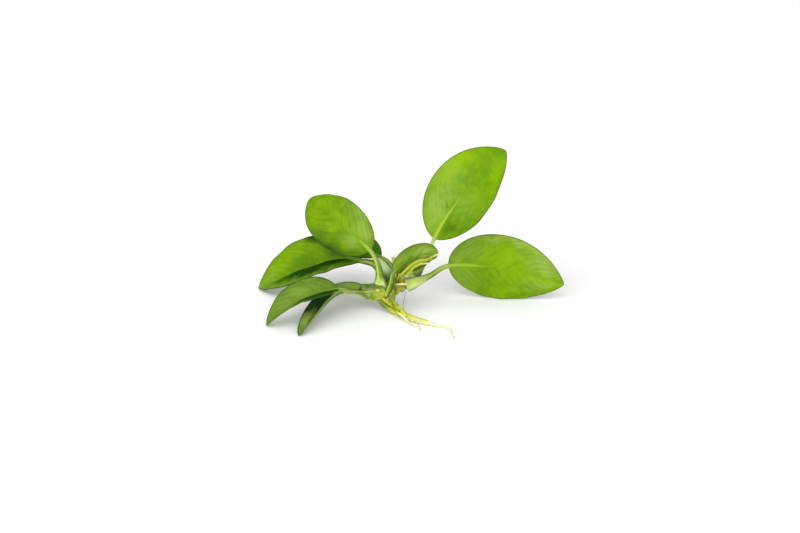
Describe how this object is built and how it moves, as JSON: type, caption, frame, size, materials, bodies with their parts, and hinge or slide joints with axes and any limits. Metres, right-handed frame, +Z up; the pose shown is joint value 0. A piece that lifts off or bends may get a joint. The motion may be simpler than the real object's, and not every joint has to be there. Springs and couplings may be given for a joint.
{
  "type": "anubias plant",
  "caption": "Low-growing water plant lying bare-rooted: a thick creeping rhizome with broad oval leaves on short stalks, a young leaf, a rolled shoot and long yellow roots",
  "frame": {"origin": "On the surface the plant lies on, below the middle of its bounding box", "axes": "X runs along the plant's width, from the tip of the lowest left leaf to the tip of the broad right leaf; Y runs to the back, away from the side the picture shows; Z is up"},
  "size_m": [0.1565, 0.0812, 0.0806],
  "materials": {
    "blade_green": "thick leathery leaf, mid green, smooth and glossy when wet",
    "young_blade_green": "young leaf, paler yellow-green, smooth and glossy when wet",
    "stalk_green": "fleshy yellow-green stalk, satin",
    "rhizome_green": "firm fleshy creeping stem, olive green with ring scars, satin",
    "pale_membrane": "thin pale whitish-green membrane, satin",
    "shoot_yellow": "rolled young leaf, yellow-green, satin",
    "root_yellow": "fleshy yellow root fading to whitish, satin"
  },
  "bodies": {
    "root": {"leaf_1_blade": "blade_green", "leaf_1_stalk": "stalk_green", "leaf_2_blade": "blade_green", "leaf_2_stalk": "stalk_green", "leaf_3_blade": "blade_green", "leaf_3_stalk": "stalk_green", "leaf_4_blade": "blade_green", "leaf_4_stalk": "stalk_green", "leaf_5_blade": "blade_green", "leaf_5_stalk": "stalk_green", "leaf_6_blade": "blade_green", "leaf_6_stalk": "stalk_green", "leaf_7_blade": "blade_green", "leaf_7_stalk": "stalk_green", "leaf_8_blade": "young_blade_green", "leaf_8_stalk": "stalk_green", "rhizome": "rhizome_green", "pale_sheath": "pale_membrane", "new_shoot": "shoot_yellow", "root_1": "root_yellow", "root_2": "root_yellow", "root_3": "root_yellow", "root_4": "root_yellow", "root_5": "root_yellow", "root_6": "root_yellow"}
  },
  "joints": []
}
